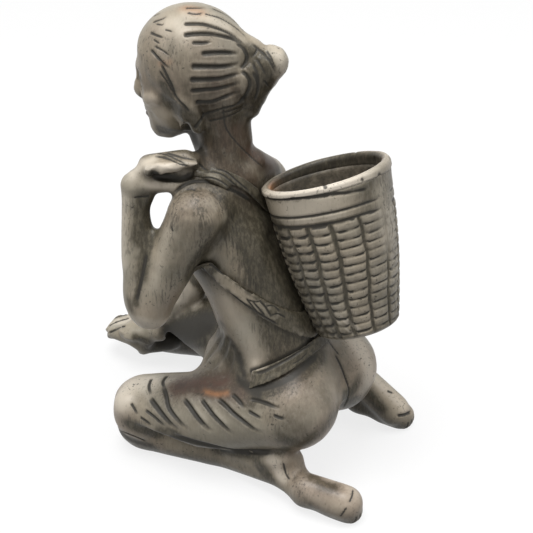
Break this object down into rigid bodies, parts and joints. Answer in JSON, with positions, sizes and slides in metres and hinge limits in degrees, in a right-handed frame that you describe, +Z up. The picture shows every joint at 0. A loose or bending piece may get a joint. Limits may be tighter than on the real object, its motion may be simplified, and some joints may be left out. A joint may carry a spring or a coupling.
{
  "type": "figurine",
  "caption": "Figurine of a kneeling tea picker in bone-coloured resin, with hair in a bun, wrapped trousers, a hand at the shoulder and a ribbed carrying basket on the back.",
  "frame": {"origin": "centre of the bounding box's bottom face, on the surface the figurine stands on", "axes": "+Z up, the figure faces -Y, +X towards the figure's left hand side"},
  "size_m": [0.0628, 0.0946, 0.1186],
  "materials": {
    "bone_resin": "cast resin with a bone effect: satin, with a dark wash in the carved grooves",
    "peg_resin": "plain resin dowel, hidden inside the joints"
  },
  "bodies": {
    "root": {"hips_and_thighs": "bone_resin", "left_lower_leg": "bone_resin", "right_lower_leg": "bone_resin", "torso": "bone_resin", "head": "bone_resin", "hair_bun": "bone_resin", "left_arm": "bone_resin", "right_arm": "bone_resin", "basket_body": "bone_resin", "basket_rim": "bone_resin", "waistband": "bone_resin", "back_band": "bone_resin", "shoulder_strap": "bone_resin", "neck_peg": "peg_resin", "waist_peg": "peg_resin", "left_shoulder_peg": "peg_resin", "right_shoulder_peg": "peg_resin", "basket_peg": "peg_resin", "left_leg_peg": "peg_resin", "right_leg_peg": "peg_resin", "bun_peg": "peg_resin"}
  },
  "joints": []
}
